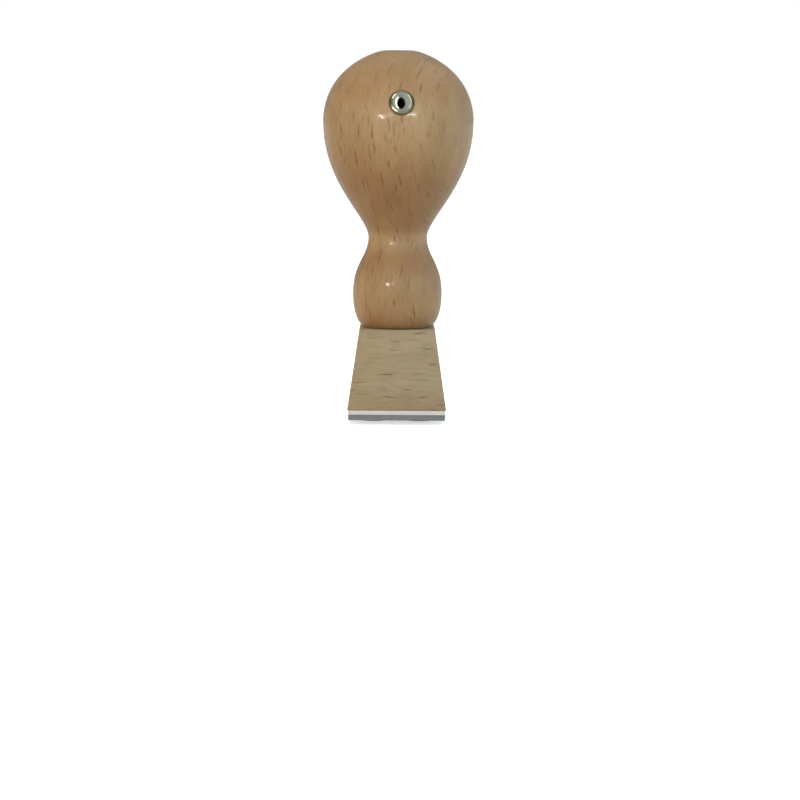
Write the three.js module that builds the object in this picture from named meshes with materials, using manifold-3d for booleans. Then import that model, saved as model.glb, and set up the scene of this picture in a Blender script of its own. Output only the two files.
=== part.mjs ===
import * as THREE from 'three';
import { mergeVertices } from 'three/addons/utils/BufferGeometryUtils.js';
import Module from 'manifold-3d';

// A wooden hand stamp. A turned and lacquered beech handle is held by a dowel screw on a
// tapered beech block, which carries a foam cushion and a rubber die. An eyelet pressed into
// the knob marks the front, which faces -Y. Millimetres, +Z up, the printing face on z = 0.

// Fits
const clearance = 0.3; // between a piece and the hole or curved surface that it sits in or on
const drillRunOut = 0.5; // how much deeper a hole is drilled than the piece in it reaches
const drillPoint = 59; // degrees, half the angle of a twist drill's point

// Figure on the die: a plain pair of round spectacles, which prints the same as it is cut
const lensDiameter = 7.9;
const bridgeSpan = 2.9; // gap between the lenses
const bridgeRise = 1.2; // how far the bridge arches over its two ends
const bridgeLift = 1.08; // top of the arch, behind the middle of the lenses
const templeLength = 1.45; // stub beside each lens
const templeLift = 0.2;
const barWidth = 0.72; // stroke of the bridge and the temples

// Rubber die
const dieReliefHeight = 1.0; // how far the figure stands off its plate
const dieShoulder = 0.25; // how much the figure spreads from its face to the plate
const diePlateThickness = 1.3;
const dieMargin = 0.4; // plate left beyond the ends of the figure
const dieCornerRadius = 0.6;

// Foam cushion
const cushionThickness = 1.0;

// Block
const dieInset = 0.3; // how far the cushion and die stay in from the block's lower edge
const blockHeight = 18.5;
const blockTaper = 2.7; // how far each side leans in from its lower to its upper edge
const blockEdgeBreak = 0.25;
const blockCornerRadius = 0.35;

// Handle: heights are measured from its foot, and each fullness is how far a curve keeps
// straight on before it turns, as a share of the height or width that it spans
const handleHeight = 64.25;
const crownDiameter = 7.6;
const crownFall = 15; // degrees that the shoulder drops where it leaves the flat crown
const shoulderFullness = [0.35, 0.66];
const knobDiameter = 35.0;
const knobHeight = 47.5;
const bellyFullness = [0.53, 0.17];
const waistDiameter = 13.7;
const waistHeight = 21.0;
const coveFullness = [0.35, 0.54];
const bulbDiameter = 20.8;
const bulbHeight = 8.0;
const toeFullness = [0.56, 0.63];
const footDiameter = 14.0;

// Dowel screw
const screwDiameter = 4.8;
const screwInHandle = 16.0;
const screwInBlock = 12.0;
const screwPointLength = 3.0;

// Eyelet
const eyeletRise = 4.8; // middle of the eyelet over the widest part of the knob
const eyeletTurn = 2.5; // degrees that it sits round to the right of the middle
const eyeletBarrelDiameter = 2.8;
const eyeletBarrelLength = 5.0;
const eyeletWall = 0.3;
const eyeletFlangeDiameter = 5.9;
const eyeletRoll = 0.85; // height of the rolled rim
const eyeletThroatDepth = 0.5; // from the top of the rim down to the straight barrel
const eyeletThroatFullness = [0.12, 0.1]; // level from the top of the rim, upright at the foot
const eyeletRollFullness = [0.12, 0.3];

// Facets
const turnedFacets = 64;
const smallFacets = 32;
const outlineSteps = 9; // along each curve of the handle
const lookupSteps = 180; // along each of those curves, to find a point on one
const rollSteps = 6; // along either side of the eyelet's rim
const cornerSteps = 3;
const figureSteps = 12;
const mergeDistance = 1e-4;

// Sizes that follow
const figureWidth = 2 * lensDiameter + bridgeSpan + 2 * templeLength;
const lensOffset = (lensDiameter + bridgeSpan) / 2;
const dieWidth = figureWidth + 2 * dieMargin;
const blockWidth = dieWidth + 2 * dieInset;
const dieTop = dieReliefHeight + diePlateThickness;
const cushionTop = dieTop + cushionThickness;
const blockTop = cushionTop + blockHeight;

const radians = THREE.MathUtils.degToRad;
const wasm = await Module();
wasm.setup();

// Gives a geometry as a solid that can be cut and joined
function solidOf(geometry) {
  const bare = geometry.clone();
  bare.deleteAttribute('normal');
  bare.deleteAttribute('uv');
  const merged = mergeVertices(bare, mergeDistance);
  const corners = merged.index.array;
  const triangles = [];
  for (let i = 0; i < corners.length; i += 3) {
    const [a, b, c] = corners.slice(i, i + 3);
    if (a !== b && b !== c && c !== a) triangles.push(a, b, c);
  }
  return new wasm.Manifold(new wasm.Mesh({
    numProp: 3,
    vertProperties: new Float32Array(merged.attributes.position.array),
    triVerts: new Uint32Array(triangles),
  }));
}

// Gives a solid back as a geometry
function geometryOf(solid) {
  const { vertProperties, triVerts } = solid.getMesh();
  const geometry = new THREE.BufferGeometry();
  geometry.setAttribute('position', new THREE.BufferAttribute(vertProperties, 3));
  geometry.setIndex(new THREE.BufferAttribute(triVerts, 1));
  geometry.computeVertexNormals();
  return geometry;
}

// Turns a profile of points (radius, height) about the Z axis
function turned(profile, facets) {
  return new THREE.LatheGeometry(profile, facets).rotateX(Math.PI / 2);
}

// A twist drill pointing down, whose full width reaches a depth below z = 0
function drill(diameter, depth, overshoot) {
  const radius = diameter / 2;
  const profile = [
    new THREE.Vector2(0, -depth - radius / Math.tan(radians(drillPoint))),
    new THREE.Vector2(radius, -depth),
    new THREE.Vector2(radius, overshoot),
    new THREE.Vector2(0, overshoot),
  ];
  return turned(profile, smallFacets);
}

function roundedSquare(width, cornerRadius) {
  const half = width / 2;
  const inner = half - cornerRadius;
  const shape = new THREE.Shape();
  shape.moveTo(-inner, -half);
  shape.lineTo(inner, -half);
  shape.absarc(inner, -inner, cornerRadius, -Math.PI / 2, 0);
  shape.absarc(inner, inner, cornerRadius, 0, Math.PI / 2);
  shape.absarc(-inner, inner, cornerRadius, Math.PI / 2, Math.PI);
  shape.absarc(-inner, -inner, cornerRadius, Math.PI, 1.5 * Math.PI);
  return shape;
}

// The handle's outline from the edge of its foot up to the edge of its crown
function handleOutline() {
  const foot = footDiameter / 2;
  const bulb = bulbDiameter / 2;
  const waist = waistDiameter / 2;
  const knob = knobDiameter / 2;
  const crown = crownDiameter / 2;
  const cove = waistHeight - bulbHeight;
  const belly = knobHeight - waistHeight;
  const shoulder = handleHeight - knobHeight;
  const leave = shoulderFullness[0] * (knob - crown);
  const fall = leave * Math.tan(radians(crownFall));
  const path = new THREE.Path();
  path.moveTo(foot, 0);
  path.bezierCurveTo(
    foot + toeFullness[1] * (bulb - foot), 0,
    bulb, bulbHeight * (1 - toeFullness[0]),
    bulb, bulbHeight,
  );
  path.bezierCurveTo(
    bulb, bulbHeight + coveFullness[1] * cove,
    waist, waistHeight - coveFullness[0] * cove,
    waist, waistHeight,
  );
  path.bezierCurveTo(
    waist, waistHeight + bellyFullness[1] * belly,
    knob, knobHeight - bellyFullness[0] * belly,
    knob, knobHeight,
  );
  path.bezierCurveTo(
    knob, knobHeight + shoulderFullness[1] * shoulder,
    crown + leave, handleHeight - fall,
    crown, handleHeight,
  );
  return path;
}

// Where the outline passes a height: its radius there, and how far it leans back from upright
function outlineAt(height) {
  const points = handleOutline().getPoints(lookupSteps);
  const next = points.findIndex((point) => point.y > height);
  const [below, above] = [points[next - 1], points[next]];
  const share = (height - below.y) / (above.y - below.y);
  return {
    radius: THREE.MathUtils.lerp(below.x, above.x, share),
    lean: Math.atan2(below.x - above.x, above.y - below.y),
  };
}

// Stands where the eyelet enters the knob, with its +Z pointing straight out of the wood
function eyeletSeat() {
  const height = knobHeight + eyeletRise;
  const { radius, lean } = outlineAt(height);
  const turn = radians(eyeletTurn);
  const seat = new THREE.Group();
  seat.position.set(radius * Math.sin(turn), -radius * Math.cos(turn), height);
  const outward = new THREE.Vector3(Math.sin(turn), -Math.cos(turn), Math.tan(lean));
  seat.quaternion.setFromUnitVectors(new THREE.Vector3(0, 0, 1), outward.normalize());
  seat.updateMatrix();
  return seat;
}

// Turned blank, drilled up its foot for the screw and into its front for the eyelet
function handleGeometry(seat) {
  const outline = handleOutline().getPoints(outlineSteps);
  const onAxis = (height) => new THREE.Vector2(0, height);
  const blank = turned([onAxis(0), ...outline, onAxis(handleHeight)], turnedFacets);
  const screwDrill = drill(
    screwDiameter + 2 * clearance,
    screwInHandle + drillRunOut,
    screwDiameter,
  ).rotateX(Math.PI);
  const eyeletDrill = drill(
    eyeletBarrelDiameter + 2 * clearance,
    eyeletBarrelLength + drillRunOut,
    eyeletBarrelDiameter,
  ).applyMatrix4(seat.matrix);
  return geometryOf(solidOf(blank).subtract(solidOf(screwDrill)).subtract(solidOf(eyeletDrill)));
}

// The two handles of the curve between a rim's crest and an upright foot beside it
function rimHandles(crest, foot, [level, upright]) {
  return {
    atCrest: [crest.x + level * (foot.x - crest.x), crest.y],
    atFoot: [foot.x, foot.y + upright * (crest.y - foot.y)],
  };
}

function climbToCrest(path, foot, crest, fullness) {
  const { atCrest, atFoot } = rimHandles(crest, foot, fullness);
  path.bezierCurveTo(...atFoot, ...atCrest, crest.x, crest.y);
}

function dropFromCrest(path, crest, foot, fullness) {
  const { atCrest, atFoot } = rimHandles(crest, foot, fullness);
  path.bezierCurveTo(...atCrest, ...atFoot, foot.x, foot.y);
}

// Barrel that opens in a funnel and is rolled outwards, down to the curve of the knob
function eyeletGeometry() {
  const outer = eyeletBarrelDiameter / 2;
  const inner = outer - eyeletWall;
  const rim = eyeletFlangeDiameter / 2;
  const middle = (inner + rim) / 2;
  const knobFallAtRim = rim ** 2 / knobDiameter;
  const rimFoot = clearance - knobFallAtRim;
  const throat = eyeletRoll - eyeletThroatDepth;
  const crest = new THREE.Vector2(middle, eyeletRoll);
  const crestBelow = new THREE.Vector2(middle, eyeletRoll - eyeletWall);
  const barrelTop = new THREE.Vector2(outer, throat);
  const boreTop = new THREE.Vector2(inner, throat);
  const rimInside = new THREE.Vector2(rim - eyeletWall, rimFoot);
  const rimOutside = new THREE.Vector2(rim, rimFoot);
  const path = new THREE.Path();
  path.moveTo(outer, -eyeletBarrelLength);
  path.lineTo(outer, throat);
  climbToCrest(path, barrelTop, crestBelow, eyeletThroatFullness);
  dropFromCrest(path, crestBelow, rimInside, eyeletRollFullness);
  path.lineTo(rim, rimFoot);
  climbToCrest(path, rimOutside, crest, eyeletRollFullness);
  dropFromCrest(path, crest, boreTop, eyeletThroatFullness);
  path.lineTo(inner, -eyeletBarrelLength);
  path.lineTo(outer, -eyeletBarrelLength);
  return turned(path.getPoints(rollSteps), smallFacets);
}

// Screw with a point at both ends, its middle where the handle meets the block
function screwGeometry() {
  const radius = screwDiameter / 2;
  const profile = [
    new THREE.Vector2(0, -screwInBlock),
    new THREE.Vector2(radius, -screwInBlock + screwPointLength),
    new THREE.Vector2(radius, screwInHandle - screwPointLength),
    new THREE.Vector2(0, screwInHandle),
  ];
  return turned(profile, smallFacets);
}

// Square block, broken along its edges, tapered upwards and drilled from above for the screw
function blockGeometry() {
  const geometry = new THREE.ExtrudeGeometry(
    roundedSquare(blockWidth - 2 * blockEdgeBreak, blockCornerRadius),
    {
      depth: blockHeight - 2 * blockEdgeBreak,
      bevelThickness: blockEdgeBreak,
      bevelSize: blockEdgeBreak,
      bevelSegments: 2,
      curveSegments: cornerSteps,
    },
  ).translate(0, 0, blockEdgeBreak);
  const position = geometry.attributes.position;
  for (let i = 0; i < position.count; i += 1) {
    const shrink = 1 - (2 * blockTaper * position.getZ(i)) / (blockHeight * blockWidth);
    position.setX(i, position.getX(i) * shrink);
    position.setY(i, position.getY(i) * shrink);
  }
  const screwDrill = drill(
    screwDiameter + 2 * clearance,
    screwInBlock + drillRunOut,
    screwDiameter,
  ).translate(0, 0, blockHeight);
  return geometryOf(solidOf(geometry).subtract(solidOf(screwDrill)));
}

function plate(thickness) {
  return new THREE.ExtrudeGeometry(
    roundedSquare(dieWidth, dieCornerRadius),
    { depth: thickness, bevelEnabled: false, curveSegments: cornerSteps },
  );
}

// Bar of the figure: its outline at z = 0, spreading in a cut shoulder up to the plate
function shouldered(outline) {
  return new THREE.ExtrudeGeometry(outline, {
    depth: diePlateThickness,
    bevelThickness: dieReliefHeight,
    bevelSize: dieShoulder,
    bevelSegments: 1,
    curveSegments: figureSteps,
  }).translate(0, 0, dieReliefHeight);
}

function lensOutline(side) {
  const shape = new THREE.Shape();
  shape.absarc(side * lensOffset, 0, lensDiameter / 2, 0, 2 * Math.PI);
  return shape;
}

// Arched bar whose ends lie inside the lenses
function bridgeOutline() {
  const halfSpan = (bridgeSpan + barWidth) / 2;
  const radius = (halfSpan ** 2 + bridgeRise ** 2) / (2 * bridgeRise);
  const middle = bridgeLift - radius;
  const reach = Math.asin(halfSpan / radius);
  const [start, end] = [Math.PI / 2 - reach, Math.PI / 2 + reach];
  const shape = new THREE.Shape();
  shape.absarc(0, middle, radius + barWidth / 2, start, end);
  shape.absarc(0, middle, radius - barWidth / 2, end, start, true);
  return shape;
}

// Straight bar from inside a lens to its round end
function templeOutline(side) {
  const root = side * (lensOffset + lensDiameter / 4);
  const tip = side * (figureWidth / 2 - barWidth / 2);
  const half = barWidth / 2;
  const shape = new THREE.Shape();
  shape.moveTo(root, templeLift - side * half);
  shape.lineTo(tip, templeLift - side * half);
  shape.absarc(tip, templeLift, half, (-side * Math.PI) / 2, (side * Math.PI) / 2);
  shape.lineTo(root, templeLift + side * half);
  return shape;
}

// Plate with the figure standing down from it; the figure's parts end half-way into the plate
function dieGeometry() {
  const outlines = [
    lensOutline(-1),
    lensOutline(1),
    bridgeOutline(),
    templeOutline(-1),
    templeOutline(1),
  ];
  const parts = outlines.map((outline) => solidOf(shouldered(outline)));
  const figure = parts.reduce((joined, part) => joined.add(part));
  const room = solidOf(plate(dieTop).translate(0, 0, -diePlateThickness / 2));
  const base = solidOf(plate(diePlateThickness).translate(0, 0, dieReliefHeight));
  return geometryOf(base.add(figure.intersect(room)));
}

const lacqueredBeech = new THREE.MeshStandardMaterial({ color: 0xa88860, roughness: 0.35 });
const bareBeech = new THREE.MeshStandardMaterial({ color: 0xa29274, roughness: 0.8 });
const nickelPlate = new THREE.MeshStandardMaterial({ color: 0xb4b6a8, roughness: 0.25, metalness: 1 });
const zincPlate = new THREE.MeshStandardMaterial({ color: 0xa9adb0, roughness: 0.4, metalness: 1 });
const paleFoam = new THREE.MeshStandardMaterial({ color: 0xe8e8e4, roughness: 0.95 });
const greyRubber = new THREE.MeshStandardMaterial({ color: 0x7b7f82, roughness: 0.85 });

function piece(name, geometry, material) {
  const mesh = new THREE.Mesh(geometry, material);
  mesh.name = name;
  return mesh;
}

const seat = eyeletSeat();
seat.add(piece('eyelet', eyeletGeometry(), nickelPlate));

const grip = new THREE.Group();
grip.position.z = blockTop;
grip.add(
  piece('handle', handleGeometry(seat), lacqueredBeech),
  piece('dowel_screw', screwGeometry(), zincPlate),
  seat,
);

const block = piece('mount_block', blockGeometry(), bareBeech);
block.position.z = cushionTop;

const cushion = piece('foam_cushion', plate(cushionThickness), paleFoam);
cushion.position.z = dieTop;

const die = piece('rubber_die', dieGeometry(), greyRubber);

const stamp = new THREE.Group();
stamp.add(grip, block, cushion, die);

export default stamp;
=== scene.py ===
import math

import bmesh
import bpy
from mathutils import Euler, Matrix, Quaternion, Vector
from mathutils.geometry import interpolate_bezier


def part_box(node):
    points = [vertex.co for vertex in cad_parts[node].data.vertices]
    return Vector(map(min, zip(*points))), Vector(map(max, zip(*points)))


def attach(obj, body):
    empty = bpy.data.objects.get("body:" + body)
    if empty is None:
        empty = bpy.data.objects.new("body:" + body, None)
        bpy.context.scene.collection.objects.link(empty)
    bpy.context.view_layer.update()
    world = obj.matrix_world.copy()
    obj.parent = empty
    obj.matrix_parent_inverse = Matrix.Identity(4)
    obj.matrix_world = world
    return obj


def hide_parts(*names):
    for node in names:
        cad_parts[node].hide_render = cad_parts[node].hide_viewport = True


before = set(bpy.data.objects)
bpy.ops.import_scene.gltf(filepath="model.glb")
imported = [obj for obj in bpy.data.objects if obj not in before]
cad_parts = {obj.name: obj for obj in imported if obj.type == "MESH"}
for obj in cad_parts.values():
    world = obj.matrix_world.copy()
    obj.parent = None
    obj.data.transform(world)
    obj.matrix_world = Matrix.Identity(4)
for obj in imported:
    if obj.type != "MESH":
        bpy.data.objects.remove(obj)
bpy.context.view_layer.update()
print("frame: wooden stamp loaded")

mm = 0.001
drillPoint = 59                # degrees, half the angle of a twist drill's point
drillSteps = 64
wallReach = 1.02               # a face nearer to a hole's axis than this many radii is its wall


# Small helpers

def linearColour(code):
    channels = [int(code[i:i + 2], 16) / 255 for i in (1, 3, 5)]
    return (*[c / 12.92 if c <= 0.04045 else ((c + 0.055) / 1.055) ** 2.4 for c in channels], 1.0)


def addNode(tree, kind, inputs=None, **settings):
    node = tree.nodes.new(kind)
    for name, value in settings.items():
        setattr(node, name, value)
    for name, value in (inputs or {}).items():
        if isinstance(value, bpy.types.NodeSocket):
            tree.links.new(value, node.inputs[name])
        else:
            node.inputs[name].default_value = value
    return node


def startMaterial(name):
    material = bpy.data.materials.new(name)
    material.use_nodes = True
    tree = material.node_tree
    tree.nodes.clear()
    return material, tree


def endMaterial(tree, settings):
    shader = addNode(tree, "ShaderNodeBsdfPrincipled", settings)
    addNode(tree, "ShaderNodeOutputMaterial", {"Surface": shader.outputs["BSDF"]})


def mottle(tree, look):
    # soft blotches of a size in millimetres, and the two tones that they blend
    place = addNode(tree, "ShaderNodeTexCoord").outputs["Object"]
    blotch = addNode(tree, "ShaderNodeTexNoise", {
        "Vector": place, "Scale": 1 / (look["blotch"] * mm), "Detail": look["detail"]}).outputs[0]
    first, second = look["tones"]
    tone = addNode(tree, "ShaderNodeMix", {
        0: blotch, 6: linearColour(first), 7: linearColour(second)}, data_type="RGBA").outputs[2]
    return blotch, tone


def addObject(name, data):
    added = bpy.data.objects.new(name, data)
    bpy.context.scene.collection.objects.link(added)
    return added


def finishPiece(name, bm, materials, node, sharpAngle=35):
    mesh = bpy.data.meshes.new(name)
    bm.to_mesh(mesh)
    bm.free()
    for material in materials:
        mesh.materials.append(material)
    mesh.shade_smooth()
    mesh.set_sharp_from_angle(angle=math.radians(sharpAngle))
    piece = addObject(name, mesh)
    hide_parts(node)
    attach(piece, "root")
    return piece


def spinProfile(points, steps):
    # points are (radius, height) in metres, turned once round the Z axis
    bm = bmesh.new()
    corners = [bm.verts.new((radius, 0, height)) for radius, height in points]
    edges = [bm.edges.new(pair) for pair in zip(corners, corners[1:])]
    bmesh.ops.spin(
        bm, geom=corners + edges, cent=(0, 0, 0), axis=(0, 0, 1),
        angle=2 * math.pi, steps=steps, use_merge=True)
    bmesh.ops.remove_doubles(bm, verts=bm.verts, dist=mm * 0.0005)
    bmesh.ops.recalc_face_normals(bm, faces=bm.faces)
    return bm


def combine(bm, other, how):
    # cuts the second closed bmesh from the first, or joins the two into one skin
    parts = []
    for source in (bm, other):
        mesh = bpy.data.meshes.new("working")
        source.to_mesh(mesh)
        source.free()
        parts.append(addObject("working", mesh))
    body, tool = parts
    work = body.modifiers.new("work", "BOOLEAN")
    work.object = tool
    work.operation = how
    work.solver = "EXACT"
    bpy.context.view_layer.update()
    result = bmesh.new()
    result.from_object(body, bpy.context.evaluated_depsgraph_get())
    for part in parts:
        mesh = part.data
        bpy.data.objects.remove(part)
        bpy.data.meshes.remove(mesh)
    return result


def boxBetween(low, high):
    bm = bmesh.new()
    bmesh.ops.create_cube(bm, size=1.0)
    bmesh.ops.scale(bm, vec=high - low, verts=bm.verts)
    bmesh.ops.translate(bm, vec=(low + high) / 2, verts=bm.verts)
    return bm


def drillBit(diameter, depth, overshoot):
    # stands on its point below z = 0, as a twist drill goes in
    radius = diameter / 2
    point = radius / math.tan(math.radians(drillPoint))
    outline = [(0, -depth - point), (radius, -depth), (radius, overshoot), (0, overshoot)]
    return spinProfile(outline, drillSteps)


# Camera: a long lens a little above the block, as in a catalogue picture

camera = {
    # metres and degrees, and the lens in millimetres
    "distance": 0.640,
    "height": 0.0771,
    "drop": 6.47,
    "turn": -0.07,
    "roll": 0.363,
    "focalLength": 123.3,
}


def makeCamera():
    data = bpy.data.cameras.new("camera")
    data.sensor_width = 36
    data.lens = camera["focalLength"]
    data.clip_start = 0.01
    data.clip_end = 50
    holder = addObject("camera", data)
    holder.matrix_world = (
        Matrix.Translation((0, -camera["distance"], camera["height"]))
        @ Matrix.Rotation(math.radians(camera["turn"]), 4, "Z")
        @ Matrix.Rotation(math.radians(90 - camera["drop"]), 4, "X")
        @ Matrix.Rotation(math.radians(camera["roll"]), 4, "Z"))
    bpy.context.scene.camera = holder


makeCamera()
print("camera: placed")


# Light: a white room whose walls glow all round and dim towards the ceiling, a small lamp
# on the left with a wider, fainter one beside it, and a row of cool spots on the right

light = {
    "walls": 3.29,             # their light on the object at floor level, in front
    "sides": 0.8,              # how much brighter they are to the left and right
    "lean": 0.4,               # and the right one more than the left
    "behind": 1.5,             # and the one behind, which has no lamp to help it
    "fade": 2.15,              # how fast they dim towards the ceiling
    "ceiling": 2.20,           # right overhead
    "ceilingSpread": 8.0,      # the higher, the smaller the bright part of the ceiling
    "sideWall": 0.27,          # how the room shows in gloss away from its white front
    "ceilingInGloss": 0.70,
    "warm": "#ffedd4",         # left and low in the room
    "cool": "#deedff",         # right and high
    "coolTowards": (0.90, 0, 0.25),
    "lamps": [
        {"name": "keyLamp", "aim": (0, 0, 0.060), "azimuth": -26, "elevation": 9.8, "roll": -20,
         "distance": 0.60, "width": 0.082, "height": 0.030, "watts": 0.28, "colour": "#fffaf2"},
        # a wider, fainter one that draws its highlight out towards the middle
        {"name": "bandLamp", "aim": (0, 0, 0.060), "azimuth": -17, "elevation": 11.0, "roll": 13,
         "distance": 0.60, "width": 0.200, "height": 0.070, "watts": 0.19, "colour": "#fff8ee"},
    ],
    # the cool one is a row of snooted spots that light the knob and leave the bulb alone
    "spots": {"name": "coolSpot", "aim": (0, 0, 0.080), "elevation": 11.2,
              "azimuths": (14, 16, 18, 20, 22, 24, 26), "distance": 0.60, "radius": 0.019,
              "cone": 7.2, "watts": 0.26, "colour": "#eaf6f4"},
    "floorColour": "#e9e9e7",
    "floorGlow": 0.60,
    "floorInGloss": "#dededa",
    "floorBounce": "#8c6230",  # what the floor throws back on the object,
    "underBounce": "#93918c",  # greyer right under it, where the grey rubber is
    "underReach": (0.012, 0.030),
    "bounceStrength": 0.90,
}


def seenDirectly(tree):
    # 1 for the camera and for what gloss and glass show of the room
    path = addNode(tree, "ShaderNodeLightPath")
    shiny = addNode(tree, "ShaderNodeMath", {
        0: path.outputs["Is Glossy Ray"],
        1: path.outputs["Is Transmission Ray"],
    }, operation="MAXIMUM").outputs[0]
    return addNode(tree, "ShaderNodeMath", {
        0: path.outputs["Is Camera Ray"], 1: shiny}, operation="MAXIMUM").outputs[0]


def makeWorld():
    world = bpy.data.worlds.new("room")
    bpy.context.scene.world = world
    world.use_nodes = True
    tree = world.node_tree
    tree.nodes.clear()
    towards = addNode(tree, "ShaderNodeTexCoord").outputs["Generated"]
    axes = addNode(tree, "ShaderNodeSeparateXYZ", {0: towards})
    below = addNode(tree, "ShaderNodeMapRange", {
        "Value": axes.outputs["Z"], "To Min": 1.0, "To Max": 0.0}).outputs[0]
    faded = addNode(tree, "ShaderNodeMath", {0: below, 1: light["fade"]}, operation="POWER").outputs[0]
    aside = addNode(tree, "ShaderNodeMath", {0: axes.outputs["X"]}, operation="ABSOLUTE").outputs[0]
    behind = addNode(tree, "ShaderNodeMath", {0: axes.outputs["Y"], 1: 0.0}, operation="MAXIMUM")
    level = light["walls"]
    for reach, share in (
            (aside, "sides"), (axes.outputs["X"], "lean"), (behind.outputs[0], "behind")):
        level = addNode(tree, "ShaderNodeMath", {
            0: reach, 1: light[share], 2: level}, operation="MULTIPLY_ADD").outputs[0]
    walls = addNode(tree, "ShaderNodeMath", {0: faded, 1: level}, operation="MULTIPLY").outputs[0]
    upwards = addNode(tree, "ShaderNodeMath", {
        0: axes.outputs["Z"], 1: 0.0}, operation="MAXIMUM").outputs[0]
    overhead = addNode(tree, "ShaderNodeMath", {
        0: upwards, 1: light["ceilingSpread"]}, operation="POWER").outputs[0]
    lit = addNode(tree, "ShaderNodeMath", {
        0: overhead, 1: light["ceiling"], 2: walls}, operation="MULTIPLY_ADD").outputs[0]
    across = addNode(tree, "ShaderNodeVectorMath", {
        0: towards, 1: light["coolTowards"]}, operation="DOT_PRODUCT").outputs["Value"]
    side = addNode(tree, "ShaderNodeMapRange", {
        "Value": across, "From Min": -0.7, "From Max": 0.7}).outputs[0]
    tone = addNode(tree, "ShaderNodeMix", {
        0: side, 6: linearColour(light["warm"]), 7: linearColour(light["cool"])},
        data_type="RGBA").outputs[2]
    room = addNode(tree, "ShaderNodeBackground", {"Color": tone, "Strength": lit})
    paper = addNode(tree, "ShaderNodeMapRange", {
        "Value": axes.outputs["Y"], "From Min": 0.1, "From Max": -0.9, "To Min": light["sideWall"],
        "To Max": 1.0}, interpolation_type="SMOOTHSTEP").outputs[0]
    ceiling = addNode(tree, "ShaderNodeMapRange", {
        "Value": axes.outputs["Z"], "From Min": 0.3, "From Max": 0.9,
        "To Max": light["ceilingInGloss"]}, interpolation_type="SMOOTHSTEP").outputs[0]
    inGloss = addNode(tree, "ShaderNodeMath", {0: paper, 1: ceiling}, operation="MAXIMUM").outputs[0]
    byCamera = addNode(tree, "ShaderNodeLightPath").outputs["Is Camera Ray"]
    shown = addNode(tree, "ShaderNodeMath", {
        0: inGloss, 1: byCamera}, operation="MAXIMUM").outputs[0]
    white = addNode(tree, "ShaderNodeBackground", {"Color": (1, 1, 1, 1), "Strength": shown})
    both = addNode(tree, "ShaderNodeMixShader", {
        0: seenDirectly(tree), 1: room.outputs[0], 2: white.outputs[0]})
    addNode(tree, "ShaderNodeOutputWorld", {"Surface": both.outputs[0]})


def hangLight(data, lamp, aim, azimuth):
    data.energy = lamp["watts"]
    data.color = linearColour(lamp["colour"])[:3]
    holder = addObject(lamp["name"], data)
    turn, rise = math.radians(azimuth), math.radians(lamp["elevation"])
    away = Vector((
        math.sin(turn) * math.cos(rise),
        -math.cos(turn) * math.cos(rise),
        math.sin(rise)))
    holder.location = Vector(aim) + away * lamp["distance"]
    holder.rotation_mode = "QUATERNION"
    holder.rotation_quaternion = (
        away.to_track_quat("Z", "Y") @ Quaternion((0, 0, 1), math.radians(lamp.get("roll", 0))))
    holder.visible_camera = False
    return holder


def makeLamp(lamp, aim):
    data = bpy.data.lights.new(lamp["name"], "AREA")
    data.shape = "RECTANGLE"
    data.size = lamp["width"]
    data.size_y = lamp["height"]
    return hangLight(data, lamp, aim, lamp["azimuth"])


def makeSpots(row):
    spots = []
    for azimuth in row["azimuths"]:
        data = bpy.data.lights.new(row["name"], "SPOT")
        data.shadow_soft_size = row["radius"]
        data.spot_size = math.radians(row["cone"])
        data.spot_blend = 1.0
        spots.append(hangLight(data, row, row["aim"], azimuth))
    return spots


def makeFloor():
    # white to the camera apart from the shadow, an even warm glow to the object
    material, tree = startMaterial("white paper sweep")
    below = addNode(tree, "ShaderNodeNewGeometry").outputs["Backfacing"]
    byCamera = addNode(tree, "ShaderNodeLightPath").outputs["Is Camera Ray"]
    shown = addNode(tree, "ShaderNodeMix", {
        0: byCamera, 6: linearColour(light["floorInGloss"]), 7: linearColour(light["floorColour"])},
        data_type="RGBA").outputs[2]
    paper = addNode(tree, "ShaderNodeBsdfDiffuse", {"Color": shown})
    strength = addNode(tree, "ShaderNodeMath", {
        0: byCamera, 1: light["floorGlow"]}, operation="MULTIPLY").outputs[0]
    glow = addNode(tree, "ShaderNodeEmission", {"Color": (1, 1, 1, 1), "Strength": strength})
    seen = addNode(tree, "ShaderNodeAddShader", {0: paper.outputs[0], 1: glow.outputs[0]})
    place = addNode(tree, "ShaderNodeTexCoord").outputs["Object"]
    reach = addNode(tree, "ShaderNodeVectorMath", {0: place}, operation="LENGTH").outputs["Value"]
    inner, outer = light["underReach"]
    beside = addNode(tree, "ShaderNodeMapRange", {
        "Value": reach, "From Min": inner, "From Max": outer}).outputs[0]
    thrown = addNode(tree, "ShaderNodeMix", {
        0: beside, 6: linearColour(light["underBounce"]), 7: linearColour(light["floorBounce"])},
        data_type="RGBA").outputs[2]
    bounce = addNode(tree, "ShaderNodeEmission", {
        "Color": thrown, "Strength": light["bounceStrength"]})
    shade = addNode(tree, "ShaderNodeMixShader", {
        0: seenDirectly(tree), 1: bounce.outputs[0], 2: seen.outputs[0]})
    clear = addNode(tree, "ShaderNodeBsdfTransparent")
    both = addNode(tree, "ShaderNodeMixShader", {
        0: below, 1: shade.outputs[0], 2: clear.outputs[0]})
    addNode(tree, "ShaderNodeOutputMaterial", {"Surface": both.outputs[0]})
    bm = bmesh.new()
    bmesh.ops.create_grid(bm, x_segments=1, y_segments=1, size=6.0)
    mesh = bpy.data.meshes.new("floor")
    bm.to_mesh(mesh)
    bm.free()
    mesh.materials.append(material)
    floor = addObject("floor", mesh)


makeWorld()
lamps = [makeLamp(lamp, lamp["aim"]) for lamp in light["lamps"]] + makeSpots(light["spots"])
makeFloor()
print("light: room, lamps and floor in place")


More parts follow.
